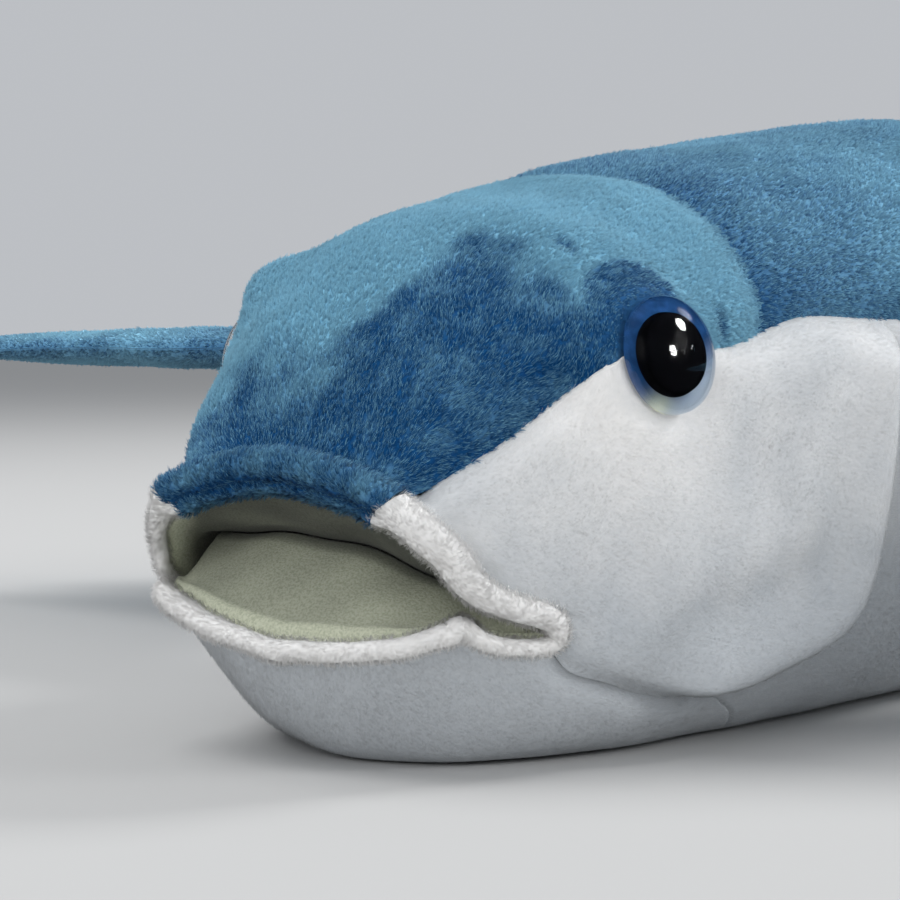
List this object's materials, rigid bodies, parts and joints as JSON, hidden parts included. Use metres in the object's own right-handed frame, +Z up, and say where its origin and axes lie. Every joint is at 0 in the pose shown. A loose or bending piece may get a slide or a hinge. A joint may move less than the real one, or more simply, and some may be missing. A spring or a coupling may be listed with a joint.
{
  "type": "plush flying fish",
  "caption": "Stuffed plush flying fish with an open lined mouth, glossy safety eyes, gill covers, wing-like pectoral fins and a forked tail; the sewn fins flop on springy root seams.",
  "frame": {"origin": "on the table under the middle of the whole fish", "axes": "+Z up, snout towards -Y and tail towards +Y, the fish's left side towards +X"},
  "size_m": [0.4448, 0.4714, 0.1145],
  "materials": {
    "blue_plush": "short blue minky plush, pile about 2 mm, lying towards the tail",
    "white_plush": "short white minky plush, pile about 2 mm, lying towards the tail",
    "mouth_lining": "grey-green short velboa with a fine dotted nap",
    "fibre": "white polyester fibre fill and batting",
    "clear_plastic": "clear polished plastic with a blue ring behind it",
    "black_plastic": "black polished plastic",
    "washer_plastic": "white moulded plastic"
  },
  "bodies": {
    "body": {"crown_panel": "blue_plush", "back_panel": "blue_plush", "left_cheek": "white_plush", "right_cheek": "white_plush", "chin_panel": "white_plush", "belly_panel": "white_plush", "upper_lip": "blue_plush", "left_lip": "white_plush", "right_lip": "white_plush", "lower_lip": "white_plush", "mouth_palate": "mouth_lining", "mouth_floor": "mouth_lining", "fibre_fill": "fibre", "left_eye_dome": "clear_plastic", "right_eye_dome": "clear_plastic", "left_eye_pupil": "black_plastic", "right_eye_pupil": "black_plastic", "left_eye_washer": "washer_plastic", "right_eye_washer": "washer_plastic"},
    "left_wing_fin": {"left_wing_upper": "blue_plush", "left_wing_lower": "blue_plush", "left_wing_batting": "fibre", "left_wing_root_seam": "blue_plush"},
    "right_wing_fin": {"right_wing_upper": "blue_plush", "right_wing_lower": "blue_plush", "right_wing_batting": "fibre", "right_wing_root_seam": "blue_plush"},
    "left_pelvic_fin": {"left_pelvic_upper": "blue_plush", "left_pelvic_lower": "blue_plush", "left_pelvic_batting": "fibre", "left_pelvic_root_seam": "blue_plush"},
    "right_pelvic_fin": {"right_pelvic_upper": "blue_plush", "right_pelvic_lower": "blue_plush", "right_pelvic_batting": "fibre", "right_pelvic_root_seam": "blue_plush"},
    "dorsal_fin": {"dorsal_left": "blue_plush", "dorsal_right": "blue_plush", "dorsal_batting": "fibre", "dorsal_root_seam": "blue_plush"},
    "anal_fin": {"anal_left": "blue_plush", "anal_right": "blue_plush", "anal_batting": "fibre", "anal_root_seam": "blue_plush"},
    "tail_fin": {"tail_left": "blue_plush", "tail_right": "blue_plush", "tail_batting": "fibre", "tail_root_seam": "blue_plush"}
  },
  "joints": [
    {"name": "left_wing_flap", "type": "hinge", "parent": "body", "child": "left_wing_fin", "pos_m": [0.0482, -0.11022, 0.055], "axis": [-0.0246, -0.9997, 0], "range_deg": [-16, 80], "stiffness_Nm_per_rad": 0.3},
    {"name": "right_wing_flap", "type": "hinge", "parent": "body", "child": "right_wing_fin", "pos_m": [-0.0482, -0.11022, 0.055], "axis": [-0.0246, 0.9997, 0], "range_deg": [-16, 80], "stiffness_Nm_per_rad": 0.3},
    {"name": "left_pelvic_flap", "type": "hinge", "parent": "body", "child": "left_pelvic_fin", "pos_m": [0.03197, 0.0081, 0.022], "axis": [0.2217, -0.9751, 0], "range_deg": [-14, 65], "stiffness_Nm_per_rad": 0.08},
    {"name": "right_pelvic_flap", "type": "hinge", "parent": "body", "child": "right_pelvic_fin", "pos_m": [-0.03197, 0.0081, 0.022], "axis": [0.2217, 0.9751, 0], "range_deg": [-14, 65], "stiffness_Nm_per_rad": 0.08},
    {"name": "dorsal_flop", "type": "hinge", "parent": "body", "child": "dorsal_fin", "pos_m": [0, 0.04862, 0.08072], "axis": [0, 0.9807, -0.1957], "range_deg": [-65, 65], "stiffness_Nm_per_rad": 0.06},
    {"name": "anal_flop", "type": "hinge", "parent": "body", "child": "anal_fin", "pos_m": [0, 0.07955, 0.01904], "axis": [0, 0.9664, 0.2569], "range_deg": [-60, 60], "stiffness_Nm_per_rad": 0.04},
    {"name": "tail_swing", "type": "hinge", "parent": "body", "child": "tail_fin", "pos_m": [0, 0.13858, 0.051], "axis": [0, 0, 1], "range_deg": [-45, 45], "stiffness_Nm_per_rad": 0.25}
  ]
}
